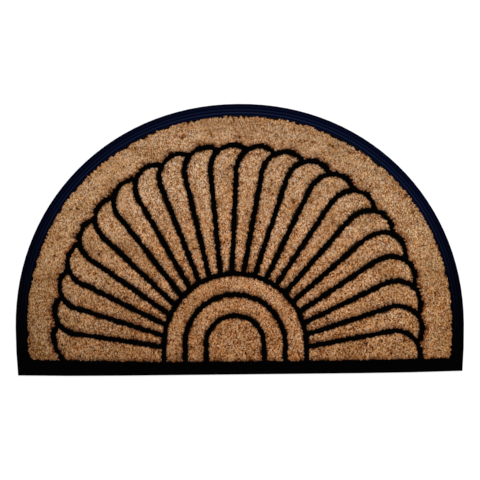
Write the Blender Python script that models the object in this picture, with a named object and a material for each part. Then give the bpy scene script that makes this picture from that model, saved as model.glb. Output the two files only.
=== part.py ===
"""Half-moon doormat: panels of coir pile set in a one-piece rubber moulding, whose ribs draw a rising fan.

Metres, +Z up. The mat lies flat, with its underside at Z 0 and the origin under the middle of its box. +X runs
along the straight edge and +Y from the straight edge to the top of the arch. Plan points are worked out with Y
counted up from the straight edge, and flat_plate moves them into the frame.
"""

import math

import bmesh
import bpy
from mathutils import Matrix, Vector
from mathutils.geometry import intersect_line_line_2d, intersect_point_line

# Overall size: an arch on drawn-in sides, over a straight edge whose ends bow up a little
MAT_WIDTH = 0.762
MAT_DEPTH = 0.460
WIDEST_UP = 0.083
ARCH_POWER = 2.057
SIDE_DRAW_IN = 0.0034
ARCH_STEPS = 60
BOW_START = 0.200
BOW_RISE = 0.0022

# Heights above the floor
BACKING_TOP = 0.0030
EDGE_TOP = 0.0030
RUBBER_TOP = 0.0085
COIR_TOP = 0.0125

# Rubber rim: a lip of two slopes, then ridges that climb inwards with a narrow groove after each
RIM_WIDTH = 0.0200
BASE_BORDER = 0.0222
STEEP_WIDTH = 0.0010
STEEP_RISE = 0.0011
GENTLE_WIDTH = 0.0016
GENTLE_RISE = 0.0005
RIDGE_COUNT = 3
RIDGE_PITCH = 0.0052
GROOVE_WIDTH = 0.0016
GROOVE_DEPTH = 0.0006

# Ribs and the panels between them
RIB_WIDTH = 0.0080
TIP_RIB_EXTRA = 0.0008
GAP = 0.0003
COIR_EDGE = 0.0014
POCKET_OVERCUT = 0.0040

# The coir's foot along the base border: level in the middle, and rising towards both ends
LEVEL_LEFT = 0.140
LEVEL_RIGHT = 0.200
LEFT_FOOT_SLOPE = 0.031
RIGHT_FOOT_SLOPE = 0.012

# Arches over the sun, from one centre: the middle line of each rib
RING_CENTRE = Vector((-0.0083, 0.0509))
RING_RADIUS = 0.1210
MIDDLE_RADIUS = 0.0851
SUN_RADIUS = 0.0492
ARC_STEP_DEG = 6.0

# Fan ribs: evenly stepped round the ring and again round the shoulder circle, whose centre is higher
FAN_CENTRE = Vector((-0.0030, 0.0770))
SHOULDER_RADIUS = 0.2654
TIP_RADIUS = 0.3150
TIP_DRAW_IN = 0.0018
TIP_SWELL = 0.0034
FIRST_ROOT_DEG = 181.4
ROOT_STEP_DEG = 9.185
ROOT_LEAN_DEG = 2.5
FIRST_SHOULDER_DEG = 181.4
SHOULDER_STEP_DEG = 9.127
SHOULDER_SWAY_DEG = -0.6
PETAL_COUNT = 22
LAST_RIB = PETAL_COUNT - 2
HALF_TIP_DEG = 0.90 * SHOULDER_STEP_DEG
TIP_END_DEG = 138.0
TIP_STEPS = 12
BURIED_SHOULDER_DEG = 2.6

# Corner rounding, as the length taken off each side of the corner
TIP_CORNER = 0.0030
ROOT_CORNER = 0.0020
NOTCH_CORNER = 0.0020
BASE_CORNER = 0.0035
RIGHT_END_CORNER = 0.0070
LEFT_END_CORNER = 0.0130
CORNER_STEPS = 3
SHORTEST_STEP = 0.0004

# Mesh clean-up: how near points are the same one, and which bends between faces count as flat and as sharp
WELD_DISTANCE = 1e-6
FLAT_DEG = 0.1
SHARP_DEG = 60.0


def around(centre, radius, degrees):
    """The plan point at that radius and angle from a centre."""
    angle = math.radians(degrees)
    return centre + radius * Vector((math.cos(angle), math.sin(angle)))


def offset_run(run, distance):
    """The run of points moved sideways to its left, kept parallel at every corner."""
    normals = []
    for here, there in zip(run, run[1:]):
        along = (there - here).normalized()
        normals.append(Vector((-along.y, along.x)))
    moved = []
    for point, before, after in zip(run, normals[:1] + normals, normals + normals[-1:]):
        middle = (before + after).normalized()
        moved.append(point + middle * distance / middle.dot(after))
    return moved


def crossing(first, second):
    """Where one run of points first crosses another."""
    for here, there in zip(first, first[1:]):
        for low, high in zip(second, second[1:]):
            point = intersect_line_line_2d(here, there, low, high)
            if point is not None:
                return point
    raise ValueError("two sides of a panel don't meet")


def place_on(run, point):
    """How far along a run a point on it lies, in segments."""
    best = None
    for number, (here, there) in enumerate(zip(run, run[1:])):
        foot, share = intersect_point_line(point, here, there)
        share = min(max(share, 0.0), 1.0)
        miss = (here.lerp(there, share) - point).length
        if best is None or miss < best[0]:
            best = (miss, number + share)
    return best[1]


def between(run, start, end):
    """The stretch of a run from one point on it to another, either way round."""
    first, last = place_on(run, start), place_on(run, end)
    if first > last:
        return between(run, end, start)[::-1]
    inner = [point for number, point in enumerate(run) if first < number < last]
    return [start] + inner + [end]


def cut_back(run, length):
    """The run with that length taken off its start."""
    for number, (here, there) in enumerate(zip(run, run[1:])):
        step = (there - here).length
        if step > length:
            return [here.lerp(there, length / step)] + run[number + 1 :]
        length -= step
    raise ValueError("a side is shorter than its corners")


def rounded(sides, corners):
    """One closed outline of sides that run head to tail. Each corner length rounds the end of its side."""
    trimmed = []
    for number, side in enumerate(sides):
        side = cut_back(side, corners[number - 1])
        trimmed.append(cut_back(side[::-1], corners[number])[::-1])
    outline = []
    for number, side in enumerate(trimmed):
        outline += side
        start, corner, end = side[-1], sides[number][-1], trimmed[(number + 1) % len(trimmed)][0]
        for step in range(1, CORNER_STEPS):
            share = step / CORNER_STEPS
            outline.append(start.lerp(corner, share).lerp(corner.lerp(end, share), share))
    kept = [outline[0]]
    for point in outline[1:]:
        if min((point - kept[-1]).length, (point - outline[0]).length) > SHORTEST_STEP:
            kept.append(point)
    return kept


def arch_edge():
    """The mat's sides and arch, anticlockwise from the right end of the straight edge to its left end."""
    half_width = MAT_WIDTH / 2
    rise = MAT_DEPTH - WIDEST_UP
    right_side = [
        Vector((half_width - SIDE_DRAW_IN, BOW_RISE)),
        Vector((half_width - SIDE_DRAW_IN / 4, WIDEST_UP / 2)),
    ]
    arch = []
    for step in range(ARCH_STEPS + 1):
        angle = math.pi * step / ARCH_STEPS
        across = math.copysign(abs(math.cos(angle)) ** (2 / ARCH_POWER), math.cos(angle))
        up = abs(math.sin(angle)) ** (2 / ARCH_POWER)
        arch.append(Vector((half_width * across, WIDEST_UP + rise * up)))
    left_side = [Vector((-point.x, point.y)) for point in reversed(right_side)]
    return right_side + arch + left_side


def mat_outline():
    """The whole edge. The straight edge bows up towards its ends: halfway along, it is a quarter up."""
    half_way = (BOW_START + MAT_WIDTH / 2) / 2
    right = [Vector((BOW_START, 0.0)), Vector((half_way, BOW_RISE / 4))]
    left = [Vector((-point.x, point.y)) for point in reversed(right)]
    return left + right + arch_edge()


def rib_line(index):
    """Middle line of a fan rib: straight out to its shoulder, then half an ellipse over the petal's tip.

    The first rib's shoulder is buried in the base border, so its ellipse starts further round and has no
    straight part. The tips at the sides and at the top reach a little less far than the ones between.
    """
    buried = index < 0
    root_deg = FIRST_ROOT_DEG - ROOT_STEP_DEG * index
    root_deg += ROOT_LEAN_DEG * math.sin(math.radians(root_deg))
    shoulder_deg = FIRST_SHOULDER_DEG - SHOULDER_STEP_DEG * index
    shoulder_deg += SHOULDER_SWAY_DEG * math.sin(math.radians(2 * shoulder_deg))
    tip_length = TIP_RADIUS - SHOULDER_RADIUS - TIP_DRAW_IN
    tip_length += TIP_SWELL * math.sin(math.radians(2 * shoulder_deg)) ** 2
    run = [] if buried else [around(RING_CENTRE, RING_RADIUS, root_deg)]
    for step in range(TIP_STEPS + 1):
        phase = math.radians(TIP_END_DEG * step / TIP_STEPS)
        rising = phase < math.pi / 2
        reach = HALF_TIP_DEG + (BURIED_SHOULDER_DEG if buried and rising else 0.0)
        swing = HALF_TIP_DEG - reach * math.cos(phase)
        radius = SHOULDER_RADIUS + tip_length * math.sin(phase)
        run.append(around(FAN_CENTRE, radius, shoulder_deg - swing))
    return run


def arch_run(radius, base):
    """A half circle over the ring's centre with straight legs down to the base border, from right to left."""
    steps = round(180 / ARC_STEP_DEG)
    arc = [around(RING_CENTRE, radius, ARC_STEP_DEG * step) for step in range(steps + 1)]
    right_foot = Vector((RING_CENTRE.x + radius, base))
    left_foot = Vector((RING_CENTRE.x - radius, base))
    return [right_foot] + arc + [left_foot]


def foot_line(base):
    """The line on the base border that the outer panels stand on, from left to right."""
    left_rise = LEFT_FOOT_SLOPE * (MAT_WIDTH - LEVEL_LEFT)
    right_rise = RIGHT_FOOT_SLOPE * (MAT_WIDTH - LEVEL_RIGHT)
    return [
        Vector((-MAT_WIDTH, base + left_rise)),
        Vector((-LEVEL_LEFT, base)),
        Vector((LEVEL_RIGHT, base)),
        Vector((MAT_WIDTH, base + right_rise)),
    ]


def petal_outline(index, half_rib, base):
    """The petal between a rib and the next one. The first and last petals also stand on the base border."""
    ring = arch_run(RING_RADIUS + half_rib, base - RIB_WIDTH)
    floor = foot_line(base)
    near_side = offset_run(rib_line(index), -half_rib)
    far_side = floor if index == LAST_RIB else offset_run(rib_line(index + 1), half_rib)
    tip = crossing(near_side, far_side)
    far_root = crossing(ring, far_side)
    sides = [between(far_side, tip, far_root)]
    corners = [ROOT_CORNER]
    if index < 0:
        heel = crossing(ring[::-1], floor)
        start = crossing(near_side, floor)
        sides += [between(ring, far_root, heel), [heel, start]]
        corners += [ROOT_CORNER, BASE_CORNER]
    else:
        start = crossing(near_side, ring)
        sides.append(between(ring, far_root, start))
        corners.append(ROOT_CORNER)
    sides.append(between(near_side, start, tip))
    corners.append(TIP_CORNER)
    return rounded(sides, corners)


def border_outline(half_rib, rim, base):
    """The wide outer panel: the arch inside the rim, and under it the scallops of the petal tips."""
    arch = offset_run(arch_edge(), rim)
    left_floor, right_floor = foot_line(base)[:2], foot_line(base)[2:]
    right_end = crossing(arch, right_floor)
    left_end = crossing(arch[::-1], left_floor)
    scallop_rib = half_rib + TIP_RIB_EXTRA
    scallops = [offset_run(rib_line(index), scallop_rib) for index in range(-1, LAST_RIB + 1)]
    notches = [crossing(before[::-1], after[::-1]) for before, after in zip(scallops, scallops[1:])]
    first_foot = crossing(scallops[0], left_floor)
    last_foot = crossing(scallops[-1][::-1], right_floor)
    scallop_ends = [first_foot] + notches + [last_foot]
    sides = [between(arch, right_end, left_end), [left_end, first_foot]]
    sides += [between(scallop, *ends) for scallop, *ends in zip(scallops, scallop_ends, scallop_ends[1:])]
    sides.append([last_foot, right_end])
    corners = [LEFT_END_CORNER, BASE_CORNER] + [NOTCH_CORNER] * len(notches) + [BASE_CORNER, RIGHT_END_CORNER]
    return rounded(sides, corners)


def band_outline(outer_radius, inner_radius, half_rib, base):
    """An arched panel between two ribs, standing on the base border."""
    outer = arch_run(outer_radius - half_rib, base)
    inner = arch_run(inner_radius + half_rib, base)[::-1]
    sides = [outer, [outer[-1], inner[0]], inner, [inner[-1], outer[0]]]
    return rounded(sides, [ROOT_CORNER] * len(sides))


def sun_outline(half_rib, base):
    """The half-round panel in the middle of the straight edge."""
    arch = arch_run(SUN_RADIUS - half_rib, base)
    return rounded([arch, [arch[-1], arch[0]]], [ROOT_CORNER, ROOT_CORNER])


def panel_outlines(clear):
    """The outline of every pocket in the rubber, or of the panels, which keep that much clear of its walls."""
    half_rib = RIB_WIDTH / 2 + clear
    rim = RIM_WIDTH + clear
    base = BASE_BORDER + clear
    outlines = {"coir_border": border_outline(half_rib, rim, base)}
    for number in range(PETAL_COUNT):
        outlines[f"coir_petal_{number + 1:02d}"] = petal_outline(number - 1, half_rib, base)
    outlines["coir_arc_outer"] = band_outline(RING_RADIUS, MIDDLE_RADIUS, half_rib, base)
    outlines["coir_arc_inner"] = band_outline(MIDDLE_RADIUS, SUN_RADIUS, half_rib, base)
    outlines["coir_sun"] = sun_outline(half_rib, base)
    return outlines


def new_material(name, colour, roughness):
    """A plain Principled material."""
    material = bpy.data.materials.new(name)
    material.use_nodes = True
    shader = material.node_tree.nodes["Principled BSDF"]
    shader.inputs["Base Color"].default_value = (*colour, 1.0)
    shader.inputs["Roughness"].default_value = roughness
    shader.inputs["Metallic"].default_value = 0.0
    return material


def new_collection(name):
    """An empty collection in the scene."""
    collection = bpy.data.collections.new(name)
    bpy.context.scene.collection.children.link(collection)
    return collection


def edit(mesh, change):
    """Runs a change on a mesh, then turns its faces outwards."""
    model = bmesh.new()
    model.from_mesh(mesh)
    change(model)
    bmesh.ops.recalc_face_normals(model, faces=model.faces)
    model.to_mesh(mesh)
    model.free()


def weld_plate(model):
    """Joins an extruded outline's loose caps to its sides, and makes each flat face one whole face."""
    bmesh.ops.remove_doubles(model, verts=model.verts, dist=WELD_DISTANCE)
    flat = math.radians(FLAT_DEG)
    bmesh.ops.dissolve_limit(model, angle_limit=flat, verts=model.verts, edges=model.edges)


def flat_plate(name, outlines, bottom, top, collection):
    """Flat pieces of those outlines between two heights, filled and extruded as a curve and made one mesh."""
    curve = bpy.data.curves.new(name, "CURVE")
    curve.dimensions = "2D"
    curve.fill_mode = "BOTH"
    curve.extrude = (top - bottom) / 2
    for outline in outlines:
        spline = curve.splines.new("POLY")
        spline.points.add(len(outline) - 1)
        for point, place in zip(spline.points, outline):
            point.co = (place.x, place.y - MAT_DEPTH / 2, 0.0, 1.0)
        spline.use_cyclic_u = True
    drawn = bpy.data.objects.new(name + "_outline", curve)
    collection.objects.link(drawn)
    graph = bpy.context.evaluated_depsgraph_get()
    mesh = bpy.data.meshes.new_from_object(drawn.evaluated_get(graph))
    bpy.data.objects.remove(drawn)
    mesh.name = name
    mesh.transform(Matrix.Translation((0.0, 0.0, (top + bottom) / 2)))
    edit(mesh, weld_plate)
    solid = bpy.data.objects.new(name, mesh)
    collection.objects.link(solid)
    return solid


def ease_top(model):
    """Takes off the sharp edge all round the top face."""
    highest = max(vert.co.z for vert in model.verts)
    edges = []
    for edge in model.edges:
        at_top = all(highest - vert.co.z < WELD_DISTANCE for vert in edge.verts)
        if at_top and edge.calc_face_angle() > math.radians(SHARP_DEG):
            edges.append(edge)
    bmesh.ops.bevel(model, geom=edges, offset=COIR_EDGE, segments=1, affect="EDGES", clamp_overlap=True)


def rim_profile():
    """How the rim steps in and up from its outer edge: (width, rise) of each ring."""
    steps = [(STEEP_WIDTH, STEEP_RISE), (GENTLE_WIDTH, GENTLE_RISE)]
    climb = (RUBBER_TOP - EDGE_TOP - STEEP_RISE - GENTLE_RISE) / RIDGE_COUNT
    for _ in range(RIDGE_COUNT):
        steps.append((RIDGE_PITCH - GROOVE_WIDTH, climb / 2))
        steps.append((GROOVE_WIDTH / 2, -GROOVE_DEPTH))
        steps.append((GROOVE_WIDTH / 2, GROOVE_DEPTH + climb / 2))
    return steps


def raise_rim(model):
    """Insets the top face ring by ring along the rim's profile."""
    top = max(model.faces, key=lambda face: face.calc_center_median().z)
    for width, rise in rim_profile():
        bmesh.ops.inset_region(model, faces=[top], thickness=width, use_even_offset=True)
        for vert in top.verts:
            vert.co.z += rise


def make_rubber(collection, cutters, material):
    """The one-piece moulding: backing, rim and ribs, left when pockets are cut out of a full-height slab."""
    rubber = flat_plate("rubber_base", [mat_outline()], 0.0, EDGE_TOP, collection)
    edit(rubber.data, raise_rim)
    outlines = panel_outlines(0.0).values()
    pockets = flat_plate("pocket_cutter", outlines, BACKING_TOP, RUBBER_TOP + POCKET_OVERCUT, cutters)
    pockets.hide_render = True
    pockets.display_type = "WIRE"
    cut = rubber.modifiers.new("Pockets", "BOOLEAN")
    cut.operation = "DIFFERENCE"
    cut.solver = "EXACT"
    cut.object = pockets
    rubber.data.materials.append(material)


def make_panels(collection, material):
    """The coir panels, each a flat block of pile that stands proud of the ribs."""
    for name, outline in panel_outlines(GAP).items():
        panel = flat_plate(name, [outline], BACKING_TOP + GAP, COIR_TOP, collection)
        edit(panel.data, ease_top)
        panel.data.materials.append(material)


def main():
    for old in list(bpy.data.objects):
        bpy.data.objects.remove(old)
    doormat = new_collection("coir_doormat")
    cutters = new_collection("cutters")
    rubber = new_material("moulded_rubber", (0.010, 0.010, 0.014), 0.55)
    coir = new_material("coir_pile", (0.30, 0.15, 0.07), 0.95)
    make_rubber(doormat, cutters, rubber)
    make_panels(doormat, coir)


main()
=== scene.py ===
import math

import bmesh
import bpy
import numpy as np
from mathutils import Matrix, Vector, geometry, kdtree, noise


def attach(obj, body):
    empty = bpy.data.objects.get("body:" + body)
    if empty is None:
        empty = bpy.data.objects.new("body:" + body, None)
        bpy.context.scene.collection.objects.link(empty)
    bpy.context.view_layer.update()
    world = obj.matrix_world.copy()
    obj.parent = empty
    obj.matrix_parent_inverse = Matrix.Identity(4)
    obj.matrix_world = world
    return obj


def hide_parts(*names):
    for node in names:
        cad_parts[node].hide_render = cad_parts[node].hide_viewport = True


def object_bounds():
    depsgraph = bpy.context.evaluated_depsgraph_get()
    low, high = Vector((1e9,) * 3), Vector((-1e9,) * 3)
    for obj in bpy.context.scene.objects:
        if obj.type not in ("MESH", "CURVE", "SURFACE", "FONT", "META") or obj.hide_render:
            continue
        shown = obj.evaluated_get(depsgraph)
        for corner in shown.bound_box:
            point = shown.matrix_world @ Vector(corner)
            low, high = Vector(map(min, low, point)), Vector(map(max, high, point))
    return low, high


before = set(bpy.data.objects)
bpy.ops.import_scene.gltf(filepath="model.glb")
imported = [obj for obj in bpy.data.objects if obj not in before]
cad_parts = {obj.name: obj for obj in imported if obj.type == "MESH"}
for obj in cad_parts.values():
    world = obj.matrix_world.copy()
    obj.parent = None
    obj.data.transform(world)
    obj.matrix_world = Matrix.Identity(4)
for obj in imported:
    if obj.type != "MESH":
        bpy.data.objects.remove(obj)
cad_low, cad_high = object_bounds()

# A half-moon doormat: coir pile panels set in the pockets of one moulded rubber base, seen from straight above on a
# white floor. Every outline is read from the CAD panels, so each piece here sits where its solid is. Sizes in metres.

# Pile panels
PILE_FOOT = 0.0030
PILE_WALL_TOP = 0.0086
PILE_BED = 0.0106
BED_EDGE_DROP = 0.0016
BED_INSET = 0.0009
SCALLOP_INSET = 0.0002
RIM_SIDE_INSET = 0.0006
RIM_TOP_INSET = 0.0013
RIM_SHOULDER_INSET = 0.0006
LEAST_INSET = -0.0006
SCALLOP_TUFTS = 1.55
RIM_SIDE_TUFTS = 1.0
RIM_TUFTS = 1.25
SHOULDER_TUFTS = 0.95
EDGE_STEP = 0.0010
TUFTS = ((0.0034, 0.0026), (0.0019, 0.0080), (0.0012, 0.0200))
# How far into its band of painted edge shade and lowering an edge that is not frayed starts
SHADED_EDGE_OFFSET = 0.0018
BED_GRID = 0.0024
BED_LUMP = 0.0003
BED_LUMP_SIZE = 0.0060
WALL_SHADE = 0.15
RIM_WALL_SHADE = 0.012
TIP_HEIGHT = 0.0124

# Fibres
FIBRES_PER_AREA = 3.3e6
FIBRE_WIDTH = 0.00048
CLUMP_SIZE = 0.0020
CLUMP_SQUEEZE = (1.39, 1.06)
CLUMP_LEAN = 0.65
FIBRE_LEAN = 0.28
EDGE_LEAN = 0.35
FRAYED_LEAN = 2.1
BRUSHED = (0.04, 0.12, 0.0)
STREAK = 0.85
CLUMP_TONE = 0.94
ROOT_SHADE = (0.58, 0.52, 0.46)
COIR_SHINE = 0.1
COIR_TONES = (
    (0.00, (0.03, 0.007, 0.002)),
    (0.10, (0.11, 0.024, 0.004)),
    (0.17, (0.240, 0.068, 0.011)),
    (0.32, (0.442, 0.206, 0.073)),
    (0.54, (0.640, 0.400, 0.197)),
    (0.74, (0.79, 0.554, 0.328)),
    (0.90, (0.95, 0.775, 0.560)),
    (1.00, (1.00, 0.900, 0.725)),
)

# How far in from its edge the pile reaches full height and is out of its band of painted edge shade
PLAIN_EDGE = 0.0040
LOWER_EDGE = 0.0078
RIM_SIDE_EDGE = 0.0030
RIM_TOP_EDGE = 0.0014
SCALLOP_EDGE = 0.0055
LOWER_FRAY = 0.4
LEAST_FREEDOM = 0.40
RIM_FREE_FROM = 0.0026

# Slow changes of tone and of painted light over the mat
LIGHT_BY_PLACE = (-0.060, 0.12, 0.27, -1.1, -4.4, -1.7)
RIM_BAND = 0.014
RIM_BAND_SHADE = (0.08, 0.16, 0.26)
SIDE_FROM = 0.30
SIDE_WIDTH = 0.05
SIDE_SHADE = 0.08
WARM_FROM = 0.20
WARM_DEPTH = 0.41
WARMER_INWARDS = 1.1
WARMER_WITHIN = 0.285
WARMEST_BY = 0.09
COOL_CAST = (1.00, 1.038, 1.142)
WARM_CAST = (1.00, 0.825, 0.665)
GREENER_BY_SIDE = 0.33
PATCH_SIZE = 0.034
PATCH_LIGHT = 0.27
PATCH_CAP = 0.14
PATCH_COLOUR = (1.0, 1.37, 2.0)
PATCH_WARMTH = 0.18
STAIN_WARMTH = 0.5
CONTRAST_BY_HEIGHT = (0.805, -0.73, 2.86)
WIDE_PANEL_CONTRAST = 0.91
BORDER_LIGHT = 1.03
PATCH_CONTRAST = 0.18
STAIN_SIZE = 0.0100
STAIN_DEPTH = 0.46
STAIN_FROM = 0.22
HUE_PATCH_SIZE = 0.0085
HUE_PATCH = 0.78
BLUER_CAST = (0.94, 1.00, 1.12)
REDDER_CAST = (1.06, 1.00, 0.88)

# Rubber
RIM_WIDTH = 0.0200
FIRST_CREST = 0.0047
LAST_CREST = 0.0148
RIDGE_PITCH = 0.0052
RUBBER_TOP = 0.0085
EDGE_ROUND = 0.00035

# Picture
PICTURE_CENTRE = (0.0019, -0.0014)
PICTURE_SPAN = 0.8155
PICTURE_TURN_DEG = 0.6
LENS_MM = 600.0
SENSOR_MM = 36.0

WELD = 1e-6
BORDER = "coir_border"
PANELS = sorted(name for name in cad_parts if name.startswith("coir_"))


# Helpers


def welded(node):
    """The node's mesh with its loose triangles joined up."""
    mesh = bmesh.new()
    mesh.from_mesh(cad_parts[node].data)
    bmesh.ops.remove_doubles(mesh, verts=mesh.verts, dist=WELD)
    return mesh


def new_piece(name, mesh):
    piece = bpy.data.objects.new(name, mesh)
    bpy.context.scene.collection.objects.link(piece)
    return piece


def foot_outline(node):
    """Corners of the outline that a panel stands on, counter-clockwise."""
    mesh = welded(node)
    low = min(vert.co.z for vert in mesh.verts) + 1e-5
    steps = {}
    for face in mesh.faces:
        if all(vert.co.z < low for vert in face.verts):
            continue
        for loop in face.loops:
            start, end = loop.vert, loop.link_loop_next.vert
            if start.co.z < low and end.co.z < low:
                steps[start.index] = end.index
    mesh.verts.ensure_lookup_table()
    places = {vert.index: (vert.co.x, vert.co.y) for vert in mesh.verts}
    first = next(iter(steps))
    loop, here = [places[first]], steps[first]
    while here != first:
        loop.append(places[here])
        here = steps[here]
    mesh.free()
    outline = np.array(loop)
    return outline if signed_area(outline) > 0 else outline[::-1]


def signed_area(outline):
    x, y = outline.T
    return 0.5 * float(np.sum(x * np.roll(y, -1) - np.roll(x, -1) * y))


def perimeter(outline):
    return float(np.sum(np.linalg.norm(np.roll(outline, -1, axis=0) - outline, axis=1)))


def divided(outline, step):
    """The outline with points no more than a step apart."""
    points = []
    for start, end in zip(outline, np.roll(outline, -1, axis=0)):
        count = max(1, math.ceil(np.linalg.norm(end - start) / step))
        points.extend(start + (end - start) * k / count for k in range(count))
    return np.array(points)


def outward(outline):
    """Unit vectors that point out of the outline at each of its points."""
    along = np.roll(outline, -1, axis=0) - np.roll(outline, 1, axis=0)
    along /= np.linalg.norm(along, axis=1)[:, None]
    return np.stack([along[:, 1], -along[:, 0]], axis=1)


def inside(points, outline):
    """True for each point that lies in the outline."""
    order = np.argsort(points[:, 1])
    x, y = points[order].T
    odd = np.zeros(len(points), bool)
    for (x0, y0), (x1, y1) in zip(outline, np.roll(outline, -1, axis=0)):
        if y0 == y1:
            continue
        first, last = np.searchsorted(y, sorted((y0, y1)))
        part = slice(first, last)
        odd[part] ^= x[part] < x0 + (x1 - x0) * (y[part] - y0) / (y1 - y0)
    result = np.zeros(len(points), bool)
    result[order] = odd
    return result


def nearest_of(outline):
    tree = kdtree.KDTree(len(outline))
    for index, (x, y) in enumerate(outline):
        tree.insert((x, y, 0), index)
    tree.balance()
    return tree


def ragged_edge(outline, normals, insets, tufting):
    """The edge of a pile's top: the outline drawn in unevenly. Where a tight corner would fold it over, it has no
    point. Gives its points, and for each point of the outline the one that belongs to it."""
    gaps = []
    for (x, y), inset, tufts in zip(outline, insets, tufting):
        uneven = sum(depth * noise.noise(Vector((x, y, 0.3)) / size) for depth, size in TUFTS)
        gaps.append(max(inset + uneven * tufts, LEAST_INSET * tufts ** 2))
    drawn_in = outline - normals * np.array(gaps)[:, None]
    tree = nearest_of(divided(outline, EDGE_STEP * 0.5))
    kept = [tree.find((x, y, 0))[2] > 0.93 * abs(gap) - 1e-6 for (x, y), gap in zip(drawn_in, gaps)]
    number = np.cumsum(kept) - 1
    return drawn_in[kept], np.where(number < 0, number[-1], number)


def bed_points(outline, rng):
    """Points of a jittered grid inside the outline, clear of its edge."""
    low, high = outline.min(0), outline.max(0)
    rows = np.arange(low[1], high[1], BED_GRID * 0.866)
    columns = np.arange(low[0], high[0], BED_GRID)
    grid = np.array([(x + BED_GRID * 0.5 * (j % 2), y) for j, y in enumerate(rows) for x in columns])
    grid += rng.uniform(-0.22, 0.22, grid.shape) * BED_GRID
    grid = grid[inside(grid, outline)]
    tree = nearest_of(divided(outline, BED_GRID * 0.3))
    far = [tree.find((x, y, 0))[2] > BED_GRID * 0.55 for x, y in grid]
    return grid[np.array(far, bool)]


# Pile


def edge_kinds(node, outline, normals):
    """At each point of the outline: how far the pile is drawn in, how unevenly, how wide and how frayed its edge band
    of painted shade is, and whether it lies along the rim."""
    # Edges that face down, away from the light, get a wider band of painted shade and lowering
    facing_down = np.clip(-normals[:, 1], 0, 1) ** 2
    insets = np.full(len(outline), BED_INSET)
    widths = PLAIN_EDGE + (LOWER_EDGE - PLAIN_EDGE) * facing_down
    frayed = LOWER_FRAY * facing_down
    tufting = np.ones(len(outline))
    rim_side = np.zeros(len(outline), bool)
    if node == BORDER:
        middle = np.array([0.0, cad_low.y + 0.02])
        outwards = outline - middle
        outwards /= np.linalg.norm(outwards, axis=1)[:, None]
        rim_side = (np.sum(outwards * normals, axis=1) > 0.0) | (normals[:, 1] < -0.98)
        facing_up = np.clip((normals[:, 1] - 0.55) / 0.3, 0, 1)
        shoulder = facing_up * np.clip(2 * np.abs(normals[:, 0]), 0, 1)
        rim_insets = RIM_SIDE_INSET + (RIM_TOP_INSET - RIM_SIDE_INSET) * facing_up + RIM_SHOULDER_INSET * shoulder
        insets = np.where(rim_side, rim_insets, SCALLOP_INSET)
        rim_widths = RIM_SIDE_EDGE + (RIM_TOP_EDGE - RIM_SIDE_EDGE) * facing_up
        widths = np.where(rim_side, rim_widths, SCALLOP_EDGE)
        frayed = np.where(rim_side, 0.0, 1.0)
        rim_tufts = RIM_SIDE_TUFTS + (RIM_TUFTS - RIM_SIDE_TUFTS) * facing_up
        rim_tufts += (SHOULDER_TUFTS - RIM_TUFTS) * shoulder
        tufting = np.where(rim_side, rim_tufts, SCALLOP_TUFTS)
    return insets, tufting, widths, frayed, rim_side


def slow_light(x, y):
    """The painted light on the pile at a place: most a little above the middle, least at the lower left and the sides.
    """
    constant, by_x, by_y, by_xx, by_yy, by_xy = LIGHT_BY_PLACE
    even = math.exp(constant + by_x * x + by_y * y + by_xx * x * x + by_yy * y * y + by_xy * x * y)
    even *= 1 - SIDE_SHADE * min(max((abs(x) - SIDE_FROM) / SIDE_WIDTH, 0.0), 1.0)
    return even


def slow_warmth(x, y):
    """How orange the pile is at a place: most at the straight edge and about the sun, least at the top, and patchy."""
    low = min(max((WARM_FROM - y) / WARM_DEPTH, 0.0), 1.0) ** 1.5
    inwards = min(WARMER_INWARDS * (WARMER_WITHIN - math.hypot(x, y - cad_low.y)), WARMEST_BY)
    return low + inwards + PATCH_WARMTH * noise.noise(Vector((x, y, 0.7)) / PATCH_SIZE)


def stain(x, y):
    """How much a darker tuft at a place falls below the tone of the rest: 0 for most, negative for some."""
    spot = Vector((x, y, 0.5))
    depth = noise.noise(spot / STAIN_SIZE) + 0.5 * noise.noise(spot / (STAIN_SIZE * 0.5))
    return STAIN_DEPTH * min(depth + STAIN_FROM, 0.0)


def hue_at(x, y):
    """How red or how yellow a small tuft at a place is, about a half."""
    spot = Vector((x, y, 0.9))
    return 0.5 + HUE_PATCH * (noise.noise(spot / HUE_PATCH_SIZE) + noise.noise(spot / (HUE_PATCH_SIZE * 0.55)))


def tint_and_light_at(x, y, darker):
    """The colour that the fibres' own is multiplied by at a place: a tint, times the painted light of the place and a
    patchy brightness. Darker tufts and patches are warmer ones.
    """
    warmth, hue = slow_warmth(x, y) - STAIN_WARMTH * darker, hue_at(x, y)
    tint_and_light = np.array(COOL_CAST) * (1 - warmth) + np.array(WARM_CAST) * warmth
    tint_and_light *= np.array(BLUER_CAST) * (1 - hue) + np.array(REDDER_CAST) * hue
    tint_and_light[1] *= 1 + GREENER_BY_SIDE * x * x
    patch = 1 + PATCH_LIGHT * min(noise.noise(Vector((x, y, 0.3)) / PATCH_SIZE), PATCH_CAP)
    return tint_and_light * slow_light(x, y) * patch ** np.array(PATCH_COLOUR)


def tone_contrast(x, y):
    """How strongly the fibres' tones differ: most near the straight edge, where the mat is most trodden."""
    constant, by_y, by_yy = CONTRAST_BY_HEIGHT
    patchy = 1 + PATCH_CONTRAST * noise.noise(Vector((x, y, 0.1)) / (2 * PATCH_SIZE))
    return (constant + by_y * y + by_yy * y * y) * patchy


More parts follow.
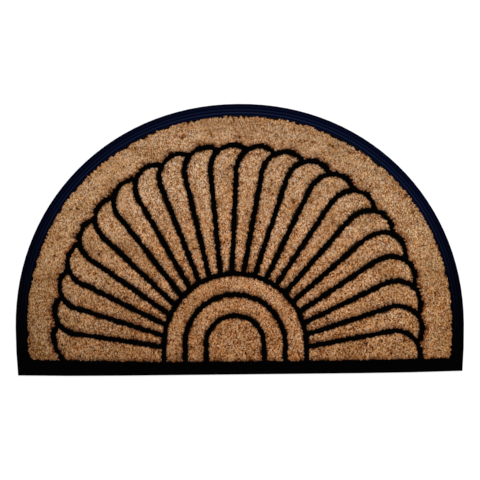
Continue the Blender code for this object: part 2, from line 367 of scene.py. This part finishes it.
def make_bed(node, rng):
    """The closed block of pile that the fibres stand out of, with what they need painted on its points."""
    outline = divided(foot_outline(node), EDGE_STEP)
    normals = outward(outline)
    count = len(outline)
    insets, tufting, _, _, by_rim = edge_kinds(node, outline, normals)
    rim, partner = ragged_edge(outline, normals, insets, tufting)
    flat = np.vstack([rim, bed_points(rim, rng)])
    found = geometry.delaunay_2d_cdt(
        [Vector(p) for p in flat], [], [list(range(len(rim)))], 1, 1e-7
    )
    top, faces, sources = found[0], found[2], found[3]
    place = {source: k for k, group in enumerate(sources) for source in group}

    fine = divided(rim, EDGE_STEP * 0.5)
    fine_normals = outward(fine)
    widths, frayed, rim_side = edge_kinds(node, fine, fine_normals)[2:]
    tree = nearest_of(fine)

    panel_contrast = 1.0 if "petal" in node else WIDE_PANEL_CONTRAST
    panel_light = BORDER_LIGHT if node == BORDER else 1.0
    verts, edge, free, fray, contrast, shift, tint_and_light, lean, clump_at = [], [], [], [], [], [], [], [], []

    def put(x, y, z, share, freedom, fraying, rim_band, leaning, clump):
        verts.append((x, y, z))
        edge.append(share)
        free.append(LEAST_FREEDOM + (1 - LEAST_FREEDOM) * freedom)
        darker = stain(x, y)
        fray.append(fraying)
        contrast.append(tone_contrast(x, y) * panel_contrast)
        shift.append(darker)
        # The tint and painted light of the place, with painted shade in the band along the rim
        tint_and_light.append(tint_and_light_at(x, y, darker) * panel_light * (1 - rim_band * np.array(RIM_BAND_SHADE)))
        lean.append((*leaning, 0.0))
        clump_at.append((clump[0] * CLUMP_SQUEEZE[0], clump[1] * CLUMP_SQUEEZE[1], 0.0))

    for point in top:
        here = np.array(point)
        spot, index, gap = tree.find((*here, 0))
        # How far a point is into its edge's band of painted shade and lowering
        share = min((gap + SHADED_EDGE_OFFSET * (1 - frayed[index])) / widths[index], 1.0)
        lump = noise.noise(Vector((*here, 0)) / BED_LUMP_SIZE) * BED_LUMP
        height = PILE_BED + lump - BED_EDGE_DROP * (1 - share) ** 2
        streaked = here + (np.array(spot[:2]) - here) * STREAK * frayed[index] * (1 - share)
        leaning = fine_normals[index] * (1 - share) * (1 + FRAYED_LEAN * frayed[index])
        freedom = min(gap / RIM_FREE_FROM if rim_side[index] else share / 0.8, 1.0)
        rim_band = max(1 - gap / RIM_BAND, 0.0) if rim_side[index] else 0.0
        put(*here, height, share, freedom, frayed[index], rim_band, leaning, streaked)
    top_count = len(verts)
    for height in (PILE_WALL_TOP, PILE_FOOT):
        for here, normal in zip(outline, normals):
            put(*here, height, 0.0, 0.0, 0.0, 0.0, normal, here)

    walls, wall_shades = [], []
    for k in range(count):
        after = (k + 1) % count
        upper, upper_after = place[partner[k]], place[partner[after]]
        middle, middle_after = top_count + k, top_count + after
        foot, foot_after = middle + count, middle_after + count
        walls.append((middle, middle_after, upper_after, upper)[: 3 if upper == upper_after else 4])
        walls.append((foot, foot_after, middle_after, middle))
        wall_shades += [RIM_WALL_SHADE if by_rim[k] else WALL_SHADE] * 2
    floor = [tuple(top_count + count + k for k in reversed(range(count)))]

    mesh = bpy.data.meshes.new(node + "_bed")
    mesh.from_pydata(verts, [], [tuple(face) for face in faces] + walls + floor)
    mesh.update()
    for name, values in (
        ("edge", edge),
        ("free", free),
        ("fray", fray),
        ("contrast", contrast),
        ("shift", shift),
    ):
        mesh.attributes.new(name, "FLOAT", "POINT").data.foreach_set("value", values)
    for name, values in (("tint_and_light", tint_and_light), ("lean_out", lean), ("clump_at", clump_at)):
        mesh.attributes.new(name, "FLOAT_VECTOR", "POINT").data.foreach_set("vector", np.array(values).ravel())
    lit = [1.0] * len(faces) + wall_shades + [WALL_SHADE]
    mesh.attributes.new("lit", "FLOAT", "FACE").data.foreach_set("value", lit)
    return new_piece(node + "_bed", mesh), outline


# Fibre tree


def add(tree, kind, **settings):
    """A node of this kind. A setting that names an input fills or links it, and any other is set on the node."""
    node = tree.nodes.new(kind)
    feeds = settings.pop("feeds", {})
    for name, value in settings.items():
        setattr(node, name, value)
    for name, value in feeds.items():
        socket = node.inputs[name]
        if isinstance(value, bpy.types.NodeSocket):
            tree.links.new(value, socket)
        else:
            socket.default_value = value
    return node


def sum_of(tree, first, second, operation="ADD"):
    return add(tree, "ShaderNodeMath", operation=operation, feeds={0: first, 1: second}).outputs[0]


def stretched(tree, vector, amount):
    node = add(tree, "ShaderNodeVectorMath", operation="SCALE", feeds={0: vector, "Scale": amount})
    return node.outputs[0]


def joined(tree, first, second, operation="ADD"):
    return add(tree, "ShaderNodeVectorMath", operation=operation, feeds={0: first, 1: second}).outputs[0]


def mixed(tree, amount, first, second):
    """A colour between two, each given as a colour or a socket."""
    colours = [value if isinstance(value, bpy.types.NodeSocket) else (*value, 1) for value in (first, second)]
    feeds = {"Factor": amount, 6: colours[0], 7: colours[1]}
    return add(tree, "ShaderNodeMix", data_type="RGBA", clamp_factor=False, feeds=feeds).outputs[2]


def painted(tree, name, kind="FLOAT"):
    return add(tree, "GeometryNodeInputNamedAttribute", data_type=kind, feeds={"Name": name}).outputs[0]


def clump_of(tree, position, clumps_per_metre):
    """Three random numbers for the clump of fibres that stands at a place, joined and apart."""
    clump = add(
        tree,
        "ShaderNodeTexVoronoi",
        voronoi_dimensions="2D",
        feature="F1",
        feeds={"Vector": position, "Scale": clumps_per_metre},
    ).outputs["Color"]
    return clump, add(tree, "ShaderNodeSeparateXYZ", feeds={0: clump}).outputs


def fibre_tree(material):
    """Geometry Nodes that stand coir fibres on the top of a pile bed."""
    tree = bpy.data.node_groups.new("coir_fibres", "GeometryNodeTree")
    face = tree.interface
    face.new_socket("Bed", in_out="INPUT", socket_type="NodeSocketGeometry")
    face.new_socket("Fibres per area", in_out="INPUT", socket_type="NodeSocketFloat")
    face.new_socket("Fibre width", in_out="INPUT", socket_type="NodeSocketFloat")
    face.new_socket("Tip height", in_out="INPUT", socket_type="NodeSocketFloat")
    face.new_socket("Clump size", in_out="INPUT", socket_type="NodeSocketFloat")
    face.new_socket("Seed", in_out="INPUT", socket_type="NodeSocketInt")
    face.new_socket("Fibres", in_out="OUTPUT", socket_type="NodeSocketGeometry")
    start = tree.nodes.new("NodeGroupInput").outputs

    # Roots on the top
    on_top = add(
        tree, "FunctionNodeCompare", operation="GREATER_THAN", feeds={0: painted(tree, "lit"), 1: 0.5}
    ).outputs[0]
    roots = add(
        tree,
        "GeometryNodeDistributePointsOnFaces",
        distribute_method="RANDOM",
        feeds={"Mesh": start["Bed"], "Selection": on_top, "Density": start["Fibres per area"], "Seed": start["Seed"]},
    ).outputs["Points"]

    # Clumps
    position = add(tree, "GeometryNodeInputPosition").outputs[0]
    clumps_per_metre = sum_of(tree, 1.0, start["Clump size"], "DIVIDE")
    clump, channels = clump_of(tree, painted(tree, "clump_at", "FLOAT_VECTOR"), clumps_per_metre)
    clump_side = joined(tree, clump, (0.5, 0.5, 0.5), "SUBTRACT")
    clump_lean = stretched(tree, clump_side, 2 * CLUMP_LEAN)
    own = add(
        tree,
        "FunctionNodeRandomValue",
        data_type="FLOAT_VECTOR",
        feeds={"Min": (-1, -1, -1), "Max": (1, 1, 1), "Seed": start["Seed"]},
    ).outputs[0]
    own_lean = stretched(tree, own, FIBRE_LEAN)
    edge_lean = stretched(tree, painted(tree, "lean_out", "FLOAT_VECTOR"), EDGE_LEAN)
    edge = painted(tree, "edge")
    loose = stretched(tree, joined(tree, clump_lean, own_lean), painted(tree, "free"))
    lean = joined(tree, joined(tree, loose, edge_lean), BRUSHED)
    flat_lean = joined(tree, lean, (1, 1, 0), "MULTIPLY")
    heading = joined(tree, flat_lean, (0, 0, 1))
    stretch = add(tree, "ShaderNodeVectorMath", operation="LENGTH", feeds={0: heading}).outputs["Value"]

    # Rise of each tip over its root
    height = add(tree, "ShaderNodeSeparateXYZ", feeds={0: position}).outputs["Z"]
    full = sum_of(tree, start["Tip height"], height, "SUBTRACT")
    cut = add(
        tree,
        "FunctionNodeRandomValue",
        data_type="FLOAT",
        feeds={"Min": 0.72, "Max": 1.0, "Seed": start["Seed"]},
    )
    low_clump = add(
        tree,
        "ShaderNodeMapRange",
        feeds={"Value": channels["Y"], "From Min": 0.0, "From Max": 0.30, "To Min": 0.45, "To Max": 1.0},
    ).outputs[0]
    edge_drop = add(
        tree,
        "ShaderNodeMapRange",
        feeds={"Value": edge, "From Min": 0.0, "From Max": 1.0, "To Min": 0.62, "To Max": 1.0},
    ).outputs[0]
    rise = sum_of(tree, full, cut.outputs["Value"], "MULTIPLY")
    for factor in (low_clump, edge_drop):
        rise = sum_of(tree, rise, factor, "MULTIPLY")
    length = sum_of(tree, rise, stretch, "MULTIPLY")
    size = add(tree, "ShaderNodeCombineXYZ", feeds={"X": length, "Y": start["Fibre width"], "Z": 1.0}).outputs[0]

    # One fibre: a thin pointed blade, a unit long and a unit wide, that points along X
    blade = add(tree, "GeometryNodeMeshCircle", fill_type="NGON", feeds={"Vertices": 3, "Radius": 1.0}).outputs[0]
    blade = add(
        tree,
        "GeometryNodeTransform",
        feeds={"Geometry": blade, "Translation": (1 / 3, 0, 0), "Scale": (2 / 3, 1 / math.sqrt(3), 1)},
    ).outputs[0]
    tip = add(tree, "ShaderNodeSeparateXYZ", feeds={0: position}).outputs["X"]
    blade = add(
        tree,
        "GeometryNodeStoreNamedAttribute",
        data_type="FLOAT",
        domain="POINT",
        feeds={"Geometry": blade, "Name": "along", "Value": tip},
    ).outputs[0]

    # Turn each fibre to its heading, flat side up, with a little twist
    across = joined(tree, (0, 0, 1), heading, "CROSS_PRODUCT")
    twist = joined(tree, across, stretched(tree, own, 0.25))
    turned = add(
        tree, "FunctionNodeAlignRotationToVector", axis="X", pivot_axis="AUTO", feeds={"Vector": heading}
    ).outputs[0]
    turned = add(
        tree,
        "FunctionNodeAlignRotationToVector",
        axis="Y",
        pivot_axis="X",
        feeds={"Rotation": turned, "Vector": twist},
    ).outputs[0]

    # Tone of each fibre: mostly its clump's, partly its own
    fibre_tone = add(
        tree, "FunctionNodeRandomValue", data_type="FLOAT", feeds={"Min": 0.0, "Max": 1.0, "Seed": start["Seed"]}
    ).outputs["Value"]
    tone = sum_of(
        tree,
        sum_of(tree, channels["Z"], CLUMP_TONE, "MULTIPLY"),
        sum_of(tree, fibre_tone, 1 - CLUMP_TONE, "MULTIPLY"),
    )
    roots = add(
        tree,
        "GeometryNodeStoreNamedAttribute",
        data_type="FLOAT",
        domain="POINT",
        feeds={"Geometry": roots, "Name": "tone", "Value": tone},
    ).outputs[0]
    roots = add(
        tree,
        "GeometryNodeStoreNamedAttribute",
        data_type="FLOAT",
        domain="POINT",
        feeds={"Geometry": roots, "Name": "hue", "Value": channels["X"]},
    ).outputs[0]
    planted = add(
        tree,
        "GeometryNodeInstanceOnPoints",
        feeds={"Points": roots, "Instance": blade, "Rotation": turned, "Scale": size},
    ).outputs[0]
    real = add(tree, "GeometryNodeRealizeInstances", feeds={"Geometry": planted}).outputs[0]
    dressed = add(tree, "GeometryNodeSetMaterial", feeds={"Geometry": real, "Material": material}).outputs[0]
    end = tree.nodes.new("NodeGroupOutput")
    tree.links.new(dressed, end.inputs["Fibres"])
    return tree


def grow(bed, name, tree, seed):
    """The fibres of a bed as a plain mesh piece."""
    grower = new_piece(name + "_grower", bed.data.copy())
    modifier = grower.modifiers.new("fibres", "NODES")
    modifier.node_group = tree
    keys = {item.name: item.identifier for item in tree.interface.items_tree if item.in_out == "INPUT"}
    modifier[keys["Fibres per area"]] = FIBRES_PER_AREA
    modifier[keys["Fibre width"]] = FIBRE_WIDTH
    modifier[keys["Tip height"]] = TIP_HEIGHT
    modifier[keys["Clump size"]] = CLUMP_SIZE
    modifier[keys["Seed"]] = seed
    bpy.context.view_layer.update()
    grown = grower.evaluated_get(bpy.context.evaluated_depsgraph_get())
    mesh = bpy.data.meshes.new_from_object(grown)
    mesh.name = name
    bpy.data.objects.remove(grower)
    return new_piece(name, mesh)


def lay_map(piece):
    """A flat map of the piece from above, for its baked colours."""
    mesh = piece.data
    places = np.empty(len(mesh.vertices) * 3)
    mesh.vertices.foreach_get("co", places)
    places = places.reshape(-1, 3)[:, :2]
    corner = np.empty(len(mesh.loops), int)
    mesh.loops.foreach_get("vertex_index", corner)
    low, high = places.min(0), places.max(0)
    spots = (places - low) / (high - low).max() * 0.98 + 0.01
    mesh.uv_layers.new(name="OFBake").data.foreach_set("uv", spots[corner].astype(np.float32).ravel())


# Materials


def shader(name):
    material = bpy.data.materials.new(name)
    material.use_nodes = True
    tree = material.node_tree
    return material, tree, tree.nodes["Principled BSDF"]


def coir_finish(name, on_fibres):
    """Natural coconut fibre, tan to pale straw at the tips, with painted shade: each fibre darker and browner towards
    its root, and a dark, orange-brown band of painted shade along the panels' edges. The bed that the fibres stand on
    has the tones of their clumps in the painted shade of the roots, and its walls are painted darker still."""
    material, tree, surface = shader(name)
    edge = add(tree, "ShaderNodeAttribute", attribute_name="edge").outputs["Fac"]
    tint_and_light = add(tree, "ShaderNodeAttribute", attribute_name="tint_and_light").outputs["Vector"]
    fray = add(tree, "ShaderNodeAttribute", attribute_name="fray").outputs["Fac"]
    if on_fibres:
        tone = add(tree, "ShaderNodeAttribute", attribute_name="tone").outputs["Fac"]
        hue = add(tree, "ShaderNodeAttribute", attribute_name="hue").outputs["Fac"]
        along = add(tree, "ShaderNodeAttribute", attribute_name="along").outputs["Fac"]
    else:
        place = add(tree, "ShaderNodeAttribute", attribute_name="clump_at").outputs["Vector"]
        clump, channels = clump_of(tree, place, 1 / CLUMP_SIZE)
        tone = sum_of(tree, sum_of(tree, channels["Z"], CLUMP_TONE, "MULTIPLY"), 0.5 * (1 - CLUMP_TONE))
        hue, along = channels["X"], 0.0
    contrast = add(tree, "ShaderNodeAttribute", attribute_name="contrast").outputs["Fac"]
    shift = add(tree, "ShaderNodeAttribute", attribute_name="shift").outputs["Fac"]
    spread = sum_of(tree, sum_of(tree, tone, 0.5, "SUBTRACT"), contrast, "MULTIPLY")
    ramp = add(tree, "ShaderNodeValToRGB", feeds={0: sum_of(tree, sum_of(tree, spread, shift), 0.5)})
    stops = ramp.color_ramp.elements
    while len(stops) < len(COIR_TONES):
        stops.new(1.0)
    for stop, (place, colour) in zip(stops, COIR_TONES):
        stop.position, stop.color = place, (*colour, 1)
    fibre = joined(
        tree, ramp.outputs["Color"], mixed(tree, hue, (0.98, 1.01, 1.04), (1.02, 0.99, 0.96)), "MULTIPLY"
    )
    # Painted shade along the panels' edges: a darker brown on plain edges, a deep orange-brown on frayed ones
    edge_shade = mixed(tree, fray, (0.19, 0.087, 0.037), (0.20, 0.050, 0.006))
    tufted = sum_of(tree, tone, 0.5, "SUBTRACT")
    tufted = sum_of(tree, sum_of(tree, tufted, fray, "MULTIPLY"), sum_of(tree, 1.0, edge, "SUBTRACT"), "MULTIPLY")
    pale = add(tree, "ShaderNodeClamp", feeds={"Value": sum_of(tree, edge, tufted)}).outputs[0]
    colour = mixed(tree, pale, edge_shade, fibre)
    # Painted shade: each fibre darker and browner towards its root
    colour = joined(tree, colour, mixed(tree, along, ROOT_SHADE, (1.0, 1.0, 1.0)), "MULTIPLY")
    # Times the tint and painted light of the place
    colour = joined(tree, colour, tint_and_light, "MULTIPLY")
    # Painted shade on the bed: its walls darker and less shiny than its top
    if not on_fibres:
        lit = add(tree, "ShaderNodeAttribute", attribute_name="lit").outputs["Fac"]
        colour = stretched(tree, colour, lit)
        tree.links.new(sum_of(tree, lit, COIR_SHINE, "MULTIPLY"), surface.inputs["Specular IOR Level"])
    tree.links.new(colour, surface.inputs["Base Color"])
    surface.inputs["Roughness"].default_value = 0.9
    surface.inputs["Specular IOR Level"].default_value = COIR_SHINE
    return material


def rubber_finish():
    """Black moulded rubber, matt, with a painted blue sheen on the ridges of the arched rim."""
    material, tree, surface = shader("moulded_rubber")
    sheen = add(tree, "ShaderNodeAttribute", attribute_name="sheen").outputs["Fac"]
    inwards = add(tree, "ShaderNodeAttribute", attribute_name="inwards").outputs["Fac"]
    place = add(tree, "ShaderNodeTexCoord").outputs["Object"]
    turns = sum_of(tree, sum_of(tree, inwards, FIRST_CREST, "SUBTRACT"), 2 * math.pi / RIDGE_PITCH, "MULTIPLY")
    wave = add(tree, "ShaderNodeMath", operation="COSINE", feeds={0: turns}).outputs[0]
    crest = add(tree, "ShaderNodeMapRange", feeds={"Value": wave, "From Min": -1.0, "From Max": 1.0}).outputs[0]
    climb = add(
        tree,
        "ShaderNodeMapRange",
        feeds={"Value": inwards, "From Min": FIRST_CREST, "From Max": LAST_CREST, "To Min": 0.40, "To Max": 1.15},
    ).outputs[0]
    # Painted sheen: the crests of the rim's ridges lighter and bluer than its grooves, most on the inner ridges
    ridge = mixed(tree, sum_of(tree, crest, climb, "MULTIPLY"), (0.0, 0.0, 0.0028), (0.0025, 0.0047, 0.0140))
    colour = mixed(tree, sheen, (0.0002, 0.0002, 0.0003), ridge)
    grain = add(tree, "ShaderNodeTexNoise", feeds={"Vector": place, "Scale": 900.0, "Detail": 2.0}).outputs[0]
    bump = add(tree, "ShaderNodeBump", feeds={"Strength": 0.25, "Distance": 0.0002, "Height": grain}).outputs[0]
    tree.links.new(colour, surface.inputs["Base Color"])
    tree.links.new(bump, surface.inputs["Normal"])
    surface.inputs["Roughness"].default_value = 0.55
    surface.inputs["Specular IOR Level"].default_value = 0.004
    return material


def floor_finish():
    material, tree, surface = shader("white_floor")
    surface.inputs["Base Color"].default_value = (0.10, 0.10, 0.10, 1)
    surface.inputs["Roughness"].default_value = 1.0
    surface.inputs["Specular IOR Level"].default_value = 0.0
    surface.inputs["Emission Color"].default_value = (1, 1, 1, 1)
    surface.inputs["Emission Strength"].default_value = 0.86
    return material


# Rubber


def make_rubber(material):
    """The rubber base with its moulded edges rounded."""
    mesh = welded("rubber_base")
    bmesh.ops.dissolve_limit(
        mesh, angle_limit=math.radians(0.2), verts=mesh.verts, edges=mesh.edges, delimit={"NORMAL"}
    )
    sharp = [
        edge
        for edge in mesh.edges
        if len(edge.link_faces) == 2
        and edge.calc_face_angle(0) > math.radians(20)
        and min(vert.co.z for vert in edge.verts) > PILE_WALL_TOP - 0.002
    ]
    bmesh.ops.bevel(
        mesh, geom=sharp, offset=EDGE_ROUND, segments=2, affect="EDGES", profile=0.5, clamp_overlap=True
    )
    bmesh.ops.triangulate(mesh, faces=[face for face in mesh.faces if len(face.verts) > 4])
    data = bpy.data.meshes.new("rubber_moulding")
    mesh.to_mesh(data)
    mesh.free()
    piece = new_piece("rubber_moulding", data)
    data.materials.append(material)

    # The painted blue sheen shows only on the arched rim, and less low down at its sides and to its left
    edge = divided(foot_outline("rubber_base"), 0.001)
    tree = nearest_of(edge[edge[:, 1] > cad_low.y + 0.012])
    inwards, sheen = [], []
    for vert in data.vertices:
        gap = tree.find((vert.co.x, vert.co.y, 0))[2]
        rise = min(max((vert.co.y - cad_low.y - 0.03) / 0.26, 0.05), 1.0) ** 1.5 * (1 + 0.9 * min(vert.co.x, 0.0))
        on_rim = 0.0008 < gap < RIM_WIDTH + 0.0005 and vert.co.y > cad_low.y + 0.010
        inwards.append(gap)
        sheen.append(rise if on_rim else 0.0)
    data.attributes.new("inwards", "FLOAT", "POINT").data.foreach_set("value", inwards)
    data.attributes.new("sheen", "FLOAT", "POINT").data.foreach_set("value", sheen)
    for polygon in data.polygons:
        polygon.use_smooth = True
    data.set_sharp_from_angle(angle=math.radians(40))
    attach(piece, "root")
    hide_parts("rubber_base")
    return piece


# Panels


def cut_size(outline):
    """Width and length of the flat rectangle that a panel is cut from. One that bends round others is a strip."""
    area = signed_area(outline)
    angle = geometry.box_fit_2d([tuple(p) for p in outline])
    turn = np.array([[math.cos(angle), -math.sin(angle)], [math.sin(angle), math.cos(angle)]])
    spun = outline @ turn.T
    width, length = sorted(spun.max(0) - spun.min(0))
    if area < 0.35 * width * length:
        length = perimeter(outline) / 2
        width = area / length
    return (width, length), area


def make_panel(node, number, tree, bed_material):
    rng = np.random.default_rng(number)
    bed, outline = make_bed(node, rng)
    bed.data.materials.append(bed_material)
    fibres = grow(bed, node + "_fibres", tree, number)
    parts = [fibres]
    if node == BORDER:
        parts = split_in_two(fibres)
    for piece in [bed, *parts]:
        lay_map(piece)
        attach(piece, "root")
    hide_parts(node)
    size, area = cut_size(outline)


def split_in_two(piece):
    """The long border's fibres as a left and a right piece."""
    parts = []
    for side, name in ((-1, "left"), (1, "right")):
        mesh = bmesh.new()
        mesh.from_mesh(piece.data)
        gone = [face for face in mesh.faces if face.calc_center_median().x * side < 0]
        bmesh.ops.delete(mesh, geom=gone, context="FACES")
        data = bpy.data.meshes.new(piece.name + "_" + name)
        mesh.to_mesh(data)
        mesh.free()
        for material in piece.data.materials:
            data.materials.append(material)
        parts.append(new_piece(piece.name + "_" + name, data))
    bpy.data.objects.remove(piece)
    return parts


# Picture


def make_floor():
    side = 6.0
    mesh = bpy.data.meshes.new("floor")
    mesh.from_pydata([(-side, -side, 0), (side, -side, 0), (side, side, 0), (-side, side, 0)], [], [(0, 1, 2, 3)])
    mesh.materials.append(floor_finish())
    floor = new_piece("floor", mesh)
    floor.location.z = -0.0005


def make_light():
    scene = bpy.context.scene
    world = bpy.data.worlds.new("soft_white_room")
    world.use_nodes = True
    sky = world.node_tree.nodes["Background"]
    sky.inputs["Color"].default_value = (1, 1, 1, 1)
    sky.inputs["Strength"].default_value = 1.15
    scene.world = world
    lamp = bpy.data.lights.new("soft_window", "AREA")
    lamp.shape = "DISK"
    lamp.size = 2.4
    lamp.energy = 223.0
    window = bpy.data.objects.new("soft_window", lamp)
    window.location = (0.3, 2.5, 3.4)
    window.rotation_euler = (Vector((0, 0, 0)) - window.location).to_track_quat("-Z", "Y").to_euler()
    scene.collection.objects.link(window)
    scene.view_settings.view_transform = "Standard"


def make_camera():
    lens = bpy.data.cameras.new("camera")
    lens.type = "PERSP"
    lens.lens = LENS_MM
    lens.sensor_width = SENSOR_MM
    distance = PICTURE_SPAN * LENS_MM / SENSOR_MM
    lens.clip_start, lens.clip_end = 0.1, 50.0
    camera = bpy.data.objects.new("camera", lens)
    camera.location = (*PICTURE_CENTRE, RUBBER_TOP + distance)
    camera.rotation_euler = (0, 0, -math.radians(PICTURE_TURN_DEG))
    bpy.context.scene.collection.objects.link(camera)
    bpy.context.scene.camera = camera


def main():
    tree = fibre_tree(coir_finish("coir_fibres", True))
    bed_material = coir_finish("coir_bed", False)
    make_rubber(rubber_finish())
    for number, node in enumerate(PANELS, 1):
        make_panel(node, number, tree, bed_material)
    make_floor()
    make_light()
    make_camera()


main()
